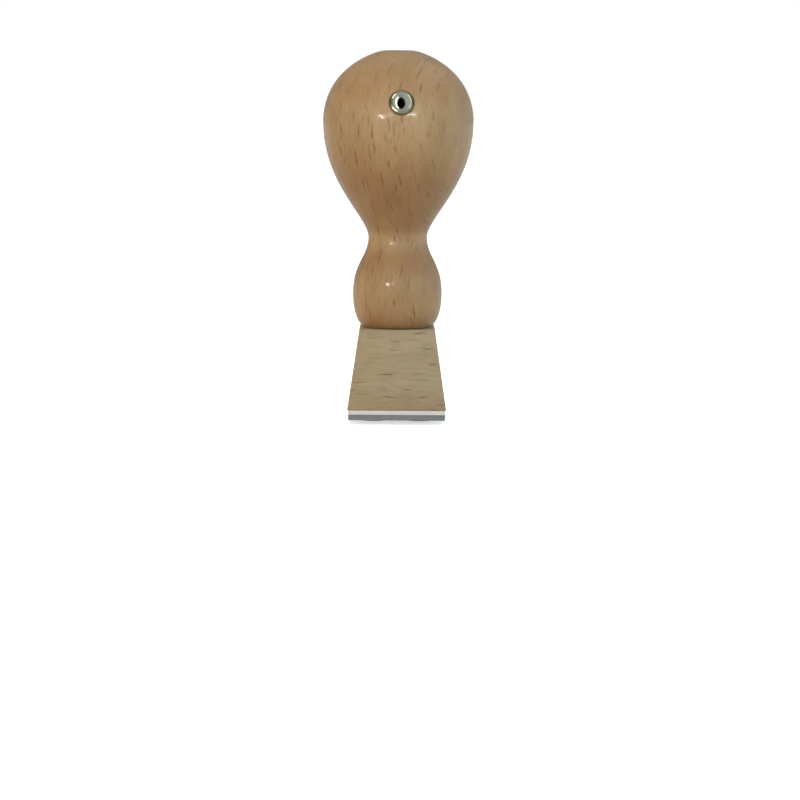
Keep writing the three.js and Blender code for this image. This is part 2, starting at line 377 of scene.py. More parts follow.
# Beech: pale, fine and even, flecked all over by its rays. A ray is a thin ribbon of
# darker tissue that runs from the pith outwards, so on a turned surface it shows as a
# short dash along the grain, and as a wide soft flake where the cut runs along it.

beech = {
    # sizes in millimetres across the rays, out from the pith and along the grain
    "drift": (14, 14, 32),     # over which the grain wanders
    "patch": (5, 7, 22),
    "blush": (2.4, 4, 5),
    "pore": (0.16, 0.16, 2.4),
    "fray": (0.6, 3, 1.3),     # what sways the edge of a fleck,
    "sway": 0.45,              # and by how many of its half widths
    # from where to where in its noise each mark comes up
    "patchRange": (0.32, 0.68),
    "streakRange": (0.42, 0.68),
    "blushRange": (0.42, 0.66),
    "poreRange": (0.50, 0.75),
    # cosines from which the surface runs along the rays, and lies in them
    "flakeRange": (0.75, 0.95),
}


def grainNoise(tree, space, size, detail, inputs=None, **settings):
    # noise stretched along the grain to a size in millimetres
    stretched = addNode(tree, "ShaderNodeVectorMath", {
        0: space, 1: [1 / s for s in size]}, operation="MULTIPLY").outputs[0]
    return addNode(tree, "ShaderNodeTexNoise", {
        "Vector": stretched, "Scale": 1.0, "Detail": detail, **(inputs or {})}, **settings)


def woodSpace(tree, wood):
    # millimetres across the rays, out from the pith and along the grain
    place = addNode(tree, "ShaderNodeTexCoord").outputs["Object"]
    board = addNode(tree, "ShaderNodeMapping", {
        "Vector": place,
        "Location": wood["shift"],
        "Rotation": [math.radians(a) for a in wood["turn"]],
        "Scale": (1 / mm, 1 / mm, 1 / mm),
    }).outputs["Vector"]
    drift = grainNoise(tree, board, beech["drift"], 4.0).outputs["Color"]
    centred = addNode(tree, "ShaderNodeVectorMath", {
        0: drift, 1: (0.5, 0.5, 0.5)}, operation="SUBTRACT").outputs[0]
    wander = addNode(tree, "ShaderNodeVectorMath", {
        0: centred, 1: (wood["wander"], wood["wander"], 0)}, operation="MULTIPLY").outputs[0]
    moved = addNode(tree, "ShaderNodeVectorMath", {
        0: board, 1: wander}, operation="ADD").outputs[0]
    axes = addNode(tree, "ShaderNodeSeparateXYZ", {0: moved})
    outwards = addNode(tree, "ShaderNodeMath", {
        0: axes.outputs["Y"], 1: wood["pith"]}, operation="ADD").outputs[0]
    angle = addNode(tree, "ShaderNodeMath", {
        0: axes.outputs["X"], 1: outwards}, operation="ARCTAN2").outputs[0]
    across = addNode(tree, "ShaderNodeMath", {
        0: angle, 1: wood["pith"]}, operation="MULTIPLY").outputs[0]
    flat = addNode(tree, "ShaderNodeCombineXYZ", {0: axes.outputs["X"], 1: outwards})
    radius = addNode(tree, "ShaderNodeVectorMath", {
        0: flat.outputs[0]}, operation="LENGTH").outputs["Value"]
    radial = addNode(tree, "ShaderNodeMath", {
        0: radius, 1: wood["pith"]}, operation="SUBTRACT").outputs[0]
    space = addNode(tree, "ShaderNodeCombineXYZ", {
        0: across, 1: radial, 2: axes.outputs["Z"]}).outputs[0]
    return space, radial


def cutAcrossRays(tree, wood):
    # 1 where the surface cuts the rays across, less where it runs along them
    sideways = Euler([math.radians(a) for a in wood["turn"]]).to_matrix()[0]
    normal = addNode(tree, "ShaderNodeTexCoord").outputs["Normal"]
    facing = addNode(tree, "ShaderNodeVectorMath", {
        0: normal, 1: sideways}, operation="DOT_PRODUCT").outputs["Value"]
    along = addNode(tree, "ShaderNodeMath", {0: facing}, operation="ABSOLUTE").outputs[0]
    low, high = beech["flakeRange"]
    return addNode(tree, "ShaderNodeMapRange", {
        "Value": along, "From Min": low, "From Max": high, "To Min": 1.0,
        "To Max": wood["flakes"]}, interpolation_type="SMOOTHSTEP").outputs[0]


def rayFlecks(tree, space, ray):
    # one spindle in each cell of a stretched Voronoi pattern; only a share of them shows,
    # some redder and some yellower
    cell = ray["cell"]
    scaled = addNode(tree, "ShaderNodeVectorMath", {
        0: space, 1: [1 / c for c in cell]}, operation="MULTIPLY").outputs[0]
    cells = addNode(tree, "ShaderNodeTexVoronoi", {
        "Vector": scaled, "Scale": 1.0, "Randomness": 1.0}, voronoi_dimensions="3D")
    offset = addNode(tree, "ShaderNodeVectorMath", {
        0: scaled, 1: cells.outputs["Position"]}, operation="SUBTRACT").outputs[0]
    frayed = grainNoise(tree, space, beech["fray"], 2.0).outputs[0]
    sway = addNode(tree, "ShaderNodeMapRange", {
        "Value": frayed, "From Min": 0.3, "From Max": 0.7, "To Min": -beech["sway"],
        "To Max": beech["sway"]})
    bend = addNode(tree, "ShaderNodeCombineXYZ", {0: sway.outputs[0]}).outputs[0]
    inside = addNode(tree, "ShaderNodeVectorMath", {
        0: offset,
        1: (cell[0] / ray["halfWidth"], 0, cell[2] / ray["halfLength"]),
        2: bend,
    }, operation="MULTIPLY_ADD").outputs[0]
    unsigned = addNode(tree, "ShaderNodeVectorMath", {0: inside}, operation="ABSOLUTE").outputs[0]
    reach = addNode(tree, "ShaderNodeSeparateXYZ", {0: unsigned})
    lot = addNode(tree, "ShaderNodeSeparateColor", {0: cells.outputs["Color"]})
    shortened = addNode(tree, "ShaderNodeMapRange", {
        "Value": lot.outputs[2], "To Min": 0.85, "To Max": 1.9}).outputs[0]
    along = addNode(tree, "ShaderNodeMath", {
        0: reach.outputs["Z"], 1: shortened}, operation="MULTIPLY").outputs[0]
    ends = addNode(tree, "ShaderNodeMath", {0: along, 1: 2.0}, operation="POWER").outputs[0]
    used = addNode(tree, "ShaderNodeMath", {
        0: reach.outputs["X"], 1: ends}, operation="ADD").outputs[0]
    spindle = addNode(tree, "ShaderNodeMapRange", {
        "Value": used, "From Min": 1.0, "From Max": 0.05}, interpolation_type="SMOOTHSTEP")
    chosen = addNode(tree, "ShaderNodeMath", {
        0: lot.outputs[0], 1: 1 - ray["share"]}, operation="GREATER_THAN").outputs[0]
    strong = addNode(tree, "ShaderNodeMath", {
        0: lot.outputs[1], 1: 1.7}, operation="POWER").outputs[0]
    depth = addNode(tree, "ShaderNodeMapRange", {
        "Value": strong, "To Min": ray["faintest"], "To Max": 1.0}).outputs[0]
    shown = addNode(tree, "ShaderNodeMath", {
        0: chosen, 1: depth}, operation="MULTIPLY").outputs[0]
    mask = addNode(tree, "ShaderNodeMath", {
        0: shown, 1: spindle.outputs[0]}, operation="MULTIPLY").outputs[0]
    red, yellow = ray["colours"]
    tone = addNode(tree, "ShaderNodeMix", {
        0: lot.outputs[2], 6: linearColour(red), 7: linearColour(yellow)},
        data_type="RGBA").outputs[2]
    return mask, tone


def layTone(tree, colour, pattern, reach, depth, code):
    # lays another colour over the wood where a pattern is strong: grain marks, and painted shade
    low, high = reach
    mask = addNode(tree, "ShaderNodeMapRange", {
        "Value": pattern, "From Min": low, "From Max": high, "To Max": depth}).outputs[0]
    return addNode(tree, "ShaderNodeMix", {
        0: mask, 6: colour, 7: linearColour(code)}, data_type="RGBA").outputs[2]


def beechColour(tree, wood):
    space, radial = woodSpace(tree, wood)
    # broad patches of paler and warmer wood
    patch = grainNoise(tree, space, beech["patch"], 3.0, {"Roughness": 0.55}).outputs[0]
    colour = layTone(
        tree, linearColour(wood["pale"]), patch, beech["patchRange"], 1.0, wood["warm"])
    # streaks a few millimetres long, lighter and darker
    streak = grainNoise(tree, space, wood["streak"], 3.0, {"Roughness": 0.55}).outputs[0]
    colour = layTone(tree, colour, streak, beech["streakRange"], wood["streaks"], wood["late"])
    # a pink cast that comes and goes over a few millimetres
    blush = grainNoise(
        tree, space, beech["blush"], 3.0, {"W": 4.0}, noise_dimensions="4D").outputs[0]
    colour = layTone(tree, colour, blush, beech["blushRange"], wood["blush"], wood["pink"])
    # growth rings: each darkens slowly and ends in a thin line of late wood
    ringNoise = grainNoise(tree, space, beech["patch"], 1.0, {"Scale": 1.6}).outputs[0]
    ringPlace = addNode(tree, "ShaderNodeMath", {
        0: radial, 1: 1 / wood["ring"], 2: ringNoise}, operation="MULTIPLY_ADD").outputs[0]
    phase = addNode(tree, "ShaderNodeMath", {0: ringPlace}, operation="FRACT").outputs[0]
    late = addNode(tree, "ShaderNodeMath", {0: phase, 1: 4.0}, operation="POWER").outputs[0]
    colour = layTone(tree, colour, late, (0, 1), wood["ringDepth"], wood["late"])
    # pores: very fine dark streaks along the grain
    pores = grainNoise(tree, space, beech["pore"], 2.0, {"Roughness": 0.6}).outputs[0]
    colour = layTone(tree, colour, pores, beech["poreRange"], wood["poreDepth"], wood["late"])
    # rays, in a coarse and a fine set
    crossing = cutAcrossRays(tree, wood)
    marks = []
    for ray in wood["rays"]:
        mask, tone = rayFlecks(tree, space, ray)
        marks.append(mask)
        deep = addNode(tree, "ShaderNodeMath", {
            0: mask, 1: ray["depth"]}, operation="MULTIPLY").outputs[0]
        strength = addNode(tree, "ShaderNodeMath", {
            0: deep, 1: crossing}, operation="MULTIPLY").outputs[0]
        colour = addNode(tree, "ShaderNodeMix", {
            0: strength, 6: colour, 7: tone}, data_type="RGBA").outputs[2]
    relief = addNode(tree, "ShaderNodeMath", {
        0: pores, 1: marks[0]}, operation="ADD").outputs[0]
    return colour, relief


# Turned handle

handle = {
    # millimetres, with heights from the handle's own foot
    "steps": 192,
    "crown": 7.6,
    "crownFall": 15,
    "crownSoftening": 0.9,     # how far its edge is sanded round
    "crownSteps": 7,
    "shoulderFullness": (0.35, 0.66),
    "knobHeight": 47.5,
    "bellyFullness": (0.53, 0.17),
    "waist": 13.7,
    "waistHeight": 21.0,
    "coveFullness": (0.35, 0.54),
    "bulb": 20.8,
    "bulbHeight": 8.0,
    "toeFullness": (0.56, 0.63),
    "foot": 14.0,
    "screwHole": 5.4,
    "screwHoleDepth": 16.5,
    "eyeletHole": 3.4,
    "eyeletHoleDepth": 5.5,
    "eyeletRise": 4.8,
    "eyeletTurn": 2.5,
    "lip": 0.3,                # what is nearer to the surface than this is skin, not the hole
    "scorch": {"blotch": 0.7, "detail": 3.0, "tones": ("#3a2a1c", "#5c4229")},
    "curveSteps": 26,
}

handleWood = {
    "turn": (0, 0, 205),       # the rays run away from the front and to the right
    "flakes": 0.20,            # how strongly they show where the cut runs along them
    "slopeShadeTone": "#8a5f33",     # painted shade, laid where the surface slopes up or down
    "slopeShadeDepth": 0.37,
    "slant": (0.12, 0.5),      # from this sine of the slant to this one
    "buttShadeDepth": 0.12,         # and painted shade over the whole lower end too
    "buttFade": 5,
    "shift": (3.0, 0, 11.0),
    "pith": 70,
    "wander": 1.5,
    "pale": "#b49c6f",
    "warm": "#a1885a",
    "pink": "#a9846b",
    "blush": 0.45,
    "streak": (0.9, 3.0, 5.0),
    "streaks": 0.18,
    "late": "#85602f",
    "ring": 2.3,
    "ringDepth": 0.10,
    "poreDepth": 0.16,
    "rays": [
        {"cell": (1.25, 14, 6.0), "halfWidth": 0.31, "halfLength": 2.8, "share": 0.80,
         "faintest": 0.12, "depth": 0.78, "colours": ("#774d2c", "#6f5326")},
        {"cell": (0.70, 9, 3.6), "halfWidth": 0.18, "halfLength": 1.3, "share": 0.65,
         "faintest": 0.1, "depth": 0.50, "colours": ("#804e2c", "#775826")},
    ],
}

handleFinish = {
    "roughness": 0.45,
    "sheenThrough": 0.25,      # what gloss the wood itself keeps under the lacquer
    "lacquer": 0.50,
    "lacquerRoughness": 0.10,
    "grainRelief": 0.010,
    "ripple": 3.5,             # the film isn't quite even
    "rippleDepth": 0.006,
    "peel": 0.9,               # and has the fine dimples of a sprayed one
    "peelDepth": 0.0015,
}


def lacqueredBeech():
    # beech turned and sanded, then sprayed with clear lacquer: even colour under a hard gloss
    material, tree = startMaterial("lacquered beech")
    colour, relief = beechColour(tree, handleWood)
    # painted shade: darker where the surface slopes up or down, and over the whole lower end below the
    # waist
    normal = addNode(tree, "ShaderNodeTexCoord").outputs["Normal"]
    upright = addNode(tree, "ShaderNodeSeparateXYZ", {0: normal}).outputs["Z"]
    slanted = addNode(tree, "ShaderNodeMath", {0: upright}, operation="ABSOLUTE").outputs[0]
    gentle, steep = handleWood["slant"]
    slantShade = addNode(tree, "ShaderNodeMapRange", {
        "Value": slanted, "From Min": gentle, "From Max": steep,
        "To Max": handleWood["slopeShadeDepth"]}, interpolation_type="SMOOTHSTEP").outputs[0]
    place = addNode(tree, "ShaderNodeTexCoord").outputs["Object"]
    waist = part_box("handle")[0].z + handle["waistHeight"] * mm
    height = addNode(tree, "ShaderNodeSeparateXYZ", {0: place}).outputs["Z"]
    butt = addNode(tree, "ShaderNodeMapRange", {
        "Value": height, "From Min": waist, "From Max": waist - handleWood["buttFade"] * mm,
        "To Max": handleWood["buttShadeDepth"]}, interpolation_type="SMOOTHSTEP").outputs[0]
    paintedShade = addNode(tree, "ShaderNodeMath", {0: slantShade, 1: butt}, operation="ADD").outputs[0]
    colour = layTone(tree, colour, paintedShade, (0, 1), 1.0, handleWood["slopeShadeTone"])
    bump = addNode(tree, "ShaderNodeBump", {
        "Height": relief, "Distance": handleFinish["grainRelief"] * mm})
    film = {}
    for size, depth in (("ripple", "rippleDepth"), ("peel", "peelDepth")):
        waves = addNode(tree, "ShaderNodeTexNoise", {
            "Vector": place, "Scale": 1 / (handleFinish[size] * mm), "Detail": 1.0}).outputs[0]
        film["Normal"] = addNode(tree, "ShaderNodeBump", {
            "Height": waves, "Distance": handleFinish[depth] * mm, **film}).outputs[0]
    endMaterial(tree, {
        "Base Color": colour,
        "Roughness": handleFinish["roughness"],
        "Specular IOR Level": handleFinish["sheenThrough"],
        "IOR": 1.5,
        "Coat Weight": handleFinish["lacquer"],
        "Coat Roughness": handleFinish["lacquerRoughness"],
        "Coat IOR": 1.5,
        "Coat Normal": film["Normal"],
        "Normal": bump.outputs[0],
    })
    return material


def drilledBeech():
    # the wall of a hole that a hot twist drill has burnished brown
    material, tree = startMaterial("drilled beech")
    _, tone = mottle(tree, handle["scorch"])
    endMaterial(tree, {"Base Color": tone, "Roughness": 0.8, "Specular IOR Level": 0.2})
    return material


def uprightAtBothEnds(start, end, fullness):
    rise = end[1] - start[1]
    return [start, (start[0], start[1] + fullness[1] * rise),
            (end[0], end[1] - fullness[0] * rise), end]


def handleOutline():
    # (radius, height) in millimetres from the rim of the foot up to the rim of the crown
    low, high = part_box("handle")
    foot = handle["foot"] / 2
    bulb = (handle["bulb"] / 2, handle["bulbHeight"])
    waist = (handle["waist"] / 2, handle["waistHeight"])
    knob = ((high.x - low.x) / 2 / mm, handle["knobHeight"])
    crown = (handle["crown"] / 2, (high.z - low.z) / mm)
    toe, shoulder = handle["toeFullness"], handle["shoulderFullness"]
    leave = shoulder[0] * (knob[0] - crown[0])
    fall = leave * math.tan(math.radians(handle["crownFall"]))
    curves = [
        [(foot, 0), (foot + toe[1] * (bulb[0] - foot), 0), (bulb[0], bulb[1] * (1 - toe[0])), bulb],
        uprightAtBothEnds(bulb, waist, handle["coveFullness"]),
        uprightAtBothEnds(waist, knob, handle["bellyFullness"]),
        [knob, (knob[0], knob[1] + shoulder[1] * (crown[1] - knob[1])),
         (crown[0] + leave, crown[1] - fall), crown],
    ]
    points = [Vector((foot, 0))]
    for curve in curves:
        points += interpolate_bezier(*[Vector(p) for p in curve], handle["curveSteps"])[1:]
    return points


def softenCrown(points):
    # rounds the edge between the shoulder and the flat crown
    edge = points[-1]
    near = [p for p in points if (p - edge).length > handle["crownSoftening"]]
    flat = edge - Vector((handle["crownSoftening"], 0))
    rounded = interpolate_bezier(
        near[-1], (near[-1] + edge) / 2, (flat + edge) / 2, flat, handle["crownSteps"])
    return near + rounded[1:]


def eyeletSeat(points):
    # where the eyelet enters the knob, its Z pointing straight out of the wood
    height = handle["knobHeight"] + handle["eyeletRise"]
    above = next(i for i, p in enumerate(points) if p.y > height)
    low, high = points[above - 1], points[above]
    share = (height - low.y) / (high.y - low.y)
    radius = low.x + share * (high.x - low.x)
    turn = math.radians(handle["eyeletTurn"])
    lean = math.atan2(low.x - high.x, high.y - low.y)
    outward = Vector((math.sin(turn), -math.cos(turn), math.tan(lean))).normalized()
    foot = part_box("handle")[0].z
    place = Vector((
        radius * math.sin(turn) * mm, -radius * math.cos(turn) * mm, foot + height * mm))
    return Matrix.Translation(place) @ outward.to_track_quat("Z", "Y").to_matrix().to_4x4()


outline = handleOutline()
seat = eyeletSeat(outline)


def makeHandle():
    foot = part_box("handle")[0].z
    hole = handle["screwHole"] / 2
    depth = handle["screwHoleDepth"]
    point = hole / math.tan(math.radians(drillPoint))
    crown = softenCrown(outline)
    waist = foot + handle["waistHeight"] * mm
    profile = [(0, depth + point), (hole, depth), (hole, 0)]
    profile += [(p.x, p.y) for p in crown] + [(0, crown[-1].y)]
    bm = spinProfile([(r * mm, foot + z * mm) for r, z in profile], handle["steps"])
    bit = drillBit(
        handle["eyeletHole"] * mm, handle["eyeletHoleDepth"] * mm, handle["eyeletHole"] * mm)
    bmesh.ops.transform(bit, matrix=seat, verts=bit.verts)
    bm = combine(bm, bit, "DIFFERENCE")
    toSeat = seat.inverted()
    deepest = -(handle["eyeletHoleDepth"] + handle["eyeletHole"]) * mm
    for face in bm.faces:
        middle = face.calc_center_median()
        inSeat = toSeat @ middle
        byEyelet = math.hypot(inSeat.x, inSeat.y) < handle["eyeletHole"] / 2 * wallReach * mm
        byScrew = math.hypot(middle.x, middle.y) < hole * wallReach * mm
        if (byEyelet and deepest < inSeat.z < -handle["lip"] * mm) or (byScrew and middle.z < waist):
            face.material_index = 1
    finishPiece(
        "turnedHandle", bm, [lacqueredBeech(), drilledBeech()], "handle")


makeHandle()
print("handle: turned, drilled and lacquered")


# Eyelet

eyelet = {
    "barrel": 2.8,
    "barrelLength": 5.0,
    "wall": 0.3,
    "flange": 5.9,
    "roll": 0.85,
    "throatDepth": 0.36,       # from the top of the rim down to the straight barrel
    "throatFullness": (0.44, 0.15),
    "squeeze": (0.80, 1.17),   # the press has left the throat a little oval
    "offCentre": (-0.13, -0.18),  # and a little to the left and low
    "rollFullness": (0.12, 0.30),
    "boreBeforeShade": 0.15,        # how far down the barrel the plating shows before the painted shade of the bore starts
    "shadedEdge": 0.36,          # how wide the rim is painted in shade and dulled by grime, where it meets the wood
    "nickel": {"blotch": 0.5, "detail": 3.0, "tones": ("#a3a694", "#8f9280")},
    "rimShadeAndTarnish": {"blotch": 0.5, "detail": 3.0, "tones": ("#8a7a50", "#6a5c40")},
    "boreShade": {"blotch": 0.4, "detail": 2.0, "tones": ("#505470", "#5e6280")},
    "roughness": (0.11, 0.19),
    "curveSteps": 12,
    "steps": 96,
    "cards": [
        # reflectors that light the eyelet alone
        {"name": "rightCard", "azimuth": 60, "elevation": 24, "roll": -23,
         "distance": 0.18, "width": 0.095, "height": 0.30, "watts": 0.36, "colour": "#fff6ff"},
        {"name": "highCard", "azimuth": -98, "elevation": 48, "roll": 28,
         "distance": 0.50, "width": 0.12, "height": 0.26, "watts": 0.38, "colour": "#fff8fc"},
        {"name": "lowCard", "azimuth": -62, "elevation": -33, "roll": 40,
         "distance": 0.075, "width": 0.012, "height": 0.060, "watts": 0.0090, "colour": "#f8faf8"},
    ],
}


def polishedNickel():
    # brass eyelet plated with nickel and tumbled bright: a warm grey mirror with faint wear
    material, tree = startMaterial("polished nickel")
    wear, tone = mottle(tree, eyelet["nickel"])
    least, most = eyelet["roughness"]
    rough = addNode(tree, "ShaderNodeMapRange", {
        "Value": wear, "From Min": 0.3, "From Max": 0.7, "To Min": least, "To Max": most}).outputs[0]
    endMaterial(tree, {"Base Color": tone, "Metallic": 1.0, "Roughness": rough})
    return material


def rimShadedNickel():
    # the same plating at the rim's edge where it meets the wood: painted shade of the gap to the wood,
    # with lacquer and dirt crept under the rim; dull and brownish
    material, tree = startMaterial("shadedAndTarnished nickel")
    _, tone = mottle(tree, eyelet["rimShadeAndTarnish"])
    endMaterial(tree, {"Base Color": tone, "Metallic": 1.0, "Roughness": 0.35})
    return material


def shadedBore():
    # painted shade inside the barrel: a dark bluish grey where the deep hole gets little light
    material, tree = startMaterial("dark eyelet bore")
    _, tone = mottle(tree, eyelet["boreShade"])
    endMaterial(tree, {"Base Color": tone, "Roughness": 0.6})
    return material


def makeEyelet():
    outer = eyelet["barrel"] / 2
    inner = outer - eyelet["wall"]
    rim = eyelet["flange"] / 2
    crest = (inner + rim) / 2
    knob = (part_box("handle")[1].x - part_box("handle")[0].x) / mm
    rimFoot = -(rim ** 2) / knob
    roll, wall = eyelet["roll"], eyelet["wall"]
    throat = roll - eyelet["throatDepth"]

    def sideOfRim(radius, foot, top, fullness):
        # from upright at its foot to level at the crest
        return interpolate_bezier(
            (radius, foot), (radius, foot + fullness[1] * (top - foot)),
            (crest + fullness[0] * (radius - crest), top), (crest, top), eyelet["curveSteps"])

    inwards, outwards = eyelet["throatFullness"], eyelet["rollFullness"]
    profile = [(outer, -eyelet["barrelLength"])]
    profile += sideOfRim(outer, throat, roll - wall, inwards)
    profile += sideOfRim(rim - wall, rimFoot, roll - wall, outwards)[-2::-1]
    profile += sideOfRim(rim, rimFoot, roll, outwards)
    profile += sideOfRim(inner, throat, roll, inwards)[-2::-1]
    profile += [(inner, throat - eyelet["boreBeforeShade"]), (inner, -eyelet["barrelLength"])]
    profile += [(outer, -eyelet["barrelLength"])]
    bm = spinProfile([(r * mm, z * mm) for r, z in profile], eyelet["steps"])
    for face in bm.faces:
        middle = face.calc_center_median()
        reach = math.hypot(middle.x, middle.y) / mm
        # faces deeper down the barrel get the painted shade of the bore
        if reach < inner * wallReach and middle.z < (throat - eyelet["boreBeforeShade"]) * mm:
            face.material_index = 1
        # the rim's outer edge gets the painted shade of the gap to the wood
        elif reach > rim - eyelet["shadedEdge"]:
            face.material_index = 2
    for corner in bm.verts:
        share = max(0, (crest * mm - math.hypot(corner.co.x, corner.co.y)) / (crest - inner) / mm)
        for axis in (0, 1):
            widened = 1 + share * (eyelet["squeeze"][axis] - 1)
            corner.co[axis] = corner.co[axis] * widened + share * eyelet["offCentre"][axis] * mm
    bmesh.ops.transform(bm, matrix=seat, verts=bm.verts)
    piece = finishPiece(
        "rolledEyelet", bm, [polishedNickel(), shadedBore(), rimShadedNickel()], "eyelet")
    alone = bpy.data.collections.new("eyelet alone")
    allBut = bpy.data.collections.new("all but the eyelet")
    for collection in (alone, allBut):
        collection.objects.link(piece)
    allBut.collection_objects[0].light_linking.link_state = "EXCLUDE"
    for lamp in lamps:
        lamp.light_linking.receiver_collection = allBut
    for card in eyelet["cards"]:
        makeLamp(card, seat.translation).light_linking.receiver_collection = alone


makeEyelet()
print("eyelet: rolled and plated")


# Block

block = {
    "taper": 2.7,
    "edgeRound": 0.3,
    "screwHoleDepth": 12.5,    # drilled with the same bit as the handle's
}

blockWood = {
    "turn": (-20, -90, 0),     # grain from left to right, rays nearly straight back
    "shift": (0, 0, 3.0),
    "flakes": 0.35,
    "pith": 90,
    "wander": 1.2,
    "pale": "#afa487",
    "warm": "#a29676",
    "pink": "#a6907c",
    "blush": 0.38,
    "streak": (0.55, 2.0, 4.0),
    "streaks": 0.24,
    "late": "#7f6a47",
    "ring": 2.6,
    "ringDepth": 0.08,
    "poreDepth": 0.24,
    "rays": [
        {"cell": (1.5, 14, 6.4), "halfWidth": 0.28, "halfLength": 2.6, "share": 0.60,
         "faintest": 0.08, "depth": 0.90, "colours": ("#714c2e", "#77602c")},
        {"cell": (0.70, 9, 3.6), "halfWidth": 0.15, "halfLength": 1.2, "share": 0.55,
         "faintest": 0.1, "depth": 0.33, "colours": ("#7a583a", "#7c6638")},
    ],
}

blockFinish = {
    "roughness": 0.75,
    "grainRelief": 0.03,
    "lowShadeAndGrime": "#8f6f4a",      # painted shade towards the bottom, with brownish grime, patchy round the lower edge
    "lowShadeReach": 6.0,
    "lowShadePatch": 5.0,
    "lowShadeDepth": 0.32,
}


def bareBeech():
    # the same wood planed and sanded but left bare: greyer, and quite without gloss
    material, tree = startMaterial("bare sanded beech")
    colour, relief = beechColour(tree, blockWood)
    place = addNode(tree, "ShaderNodeTexCoord").outputs["Object"]
    height = addNode(tree, "ShaderNodeSeparateXYZ", {0: place}).outputs["Z"]
    uneven = addNode(tree, "ShaderNodeTexNoise", {
        "Vector": place, "Scale": 1 / (blockFinish["lowShadePatch"] * mm), "Detail": 3.0}).outputs[0]
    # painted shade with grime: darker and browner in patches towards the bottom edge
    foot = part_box("mount_block")[0].z
    low = addNode(tree, "ShaderNodeMapRange", {
        "Value": height, "From Min": foot + blockFinish["lowShadeReach"] * mm, "From Max": foot,
    }).outputs[0]
    lowShadeAndGrime = addNode(tree, "ShaderNodeMath", {0: low, 1: uneven}, operation="MULTIPLY").outputs[0]
    colour = layTone(
        tree, colour, lowShadeAndGrime, (0, 1), 2 * blockFinish["lowShadeDepth"], blockFinish["lowShadeAndGrime"])
    bump = addNode(tree, "ShaderNodeBump", {
        "Height": relief, "Distance": blockFinish["grainRelief"] * mm})
    endMaterial(tree, {
        "Base Color": colour,
        "Roughness": blockFinish["roughness"],
        "Specular IOR Level": 0.25,
        "IOR": 1.5,
        "Normal": bump.outputs[0],
    })
    return material


def makeBlock():
    low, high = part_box("mount_block")
    bm = boxBetween(low, high)
    upper = [v for v in bm.verts if v.co.z > (low.z + high.z) / 2]
    lean = 1 - 2 * block["taper"] * mm / (high.x - low.x)
    bmesh.ops.scale(bm, vec=(lean, lean, 1), verts=upper)
    bmesh.ops.bevel(
        bm, geom=bm.edges[:], offset=block["edgeRound"] * mm, affect="EDGES", segments=3,
        profile=0.5, material=-1)
    bit = drillBit(
        handle["screwHole"] * mm, block["screwHoleDepth"] * mm, handle["screwHole"] * mm)
    bmesh.ops.translate(bit, vec=(0, 0, high.z), verts=bit.verts)
    bm = combine(bm, bit, "DIFFERENCE")
    finishPiece("taperedBlock", bm, [bareBeech()], "mount_block")


makeBlock()
print("block: tapered and sanded")


# Dowel screw: hidden in the wood, a wood thread at either end of a plain shank

screw = {
    "core": 4.4,
    "thread": 5.9,             # bites a quarter of a millimetre into the wood
    "pitch": 2.2,
    "threadFoot": 0.9,
    "threadCrest": 0.15,       # how wide its crest is, as a share of its foot
    "threadSunk": 0.3,         # how far the ridge is set into the core
    "threadStart": 0.6,        # how far up the point it starts, as a share of the point
    "pointLength": 3.5,
    "tip": 0.5,
    "shank": 2.6,              # plain length either side of the joint
    "zinc": {"blotch": 0.9, "detail": 4.0, "tones": ("#a3a8ad", "#bfc3c5")},
    "roughness": (0.28, 0.45),
    "steps": 48,
    "threadSteps": 24,         # to each turn
}


def zincPlated():
    # steel wire, rolled thread, bright zinc: cool grey with a slight mottle
    material, tree = startMaterial("bright zinc plate")
    spangle, tone = mottle(tree, screw["zinc"])
    least, most = screw["roughness"]
    rough = addNode(tree, "ShaderNodeMapRange", {
        "Value": spangle, "To Min": least, "To Max": most}).outputs[0]
    endMaterial(tree, {"Base Color": tone, "Metallic": 1.0, "Roughness": rough})
    return material


def screwThread(start, length):
    # one ridge wound up the screw, with a trapezium for its section
    half = screw["threadFoot"] / 2 * mm
    narrow = half * screw["threadCrest"]
    root = (screw["core"] / 2 - screw["threadSunk"]) * mm
    crest = screw["thread"] / 2 * mm
    bm = bmesh.new()
    corners = [bm.verts.new(p) for p in (
        (root, 0, start - half), (crest, 0, start - narrow),
        (crest, 0, start + narrow), (root, 0, start + half))]
    section = bm.faces.new(corners)
    turns = length / (screw["pitch"] * mm)
    steps = round(turns * screw["threadSteps"])
    bmesh.ops.spin(
        bm, geom=[section, *section.edges, *corners], cent=(0, 0, 0), axis=(0, 0, 1),
        dvec=(0, 0, length / steps), angle=turns * 2 * math.pi, steps=steps)
    bmesh.ops.recalc_face_normals(bm, faces=bm.faces)
    return bm


def addTo(bm, other):
    mesh = bpy.data.meshes.new("working")
    other.to_mesh(mesh)
    other.free()
    bm.from_mesh(mesh)
    bpy.data.meshes.remove(mesh)


def makeScrew():
    low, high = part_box("dowel_screw")
    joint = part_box("mount_block")[1].z
    core = screw["core"] / 2 * mm
    point = screw["pointLength"] * mm
    tip = screw["tip"] / 2 * mm
    bm = spinProfile([
        (0, low.z), (tip, low.z), (core, low.z + point), (core, high.z - point),
        (tip, high.z), (0, high.z)], screw["steps"])
    shank = screw["shank"] * mm
    plainPoint = point * screw["threadStart"]
    foot = low.z + plainPoint
    addTo(bm, screwThread(foot, joint - shank - foot))
    foot = joint + shank
    addTo(bm, screwThread(foot, high.z - plainPoint - foot))
    finishPiece("dowelScrew", bm, [zincPlated()], "dowel_screw", sharpAngle=30)


makeScrew()
print("dowel screw: threaded")


# Foam cushion

cushion = {
    "corner": 0.6,
    "edgeRound": 0.06,
    "cell": 0.22,              # the foam's own cells are about 0.15 mm, drawn a little coarser
    "cellDepth": 0.04,
    "tones": ("#cfcfca", "#e4e4df"),
}


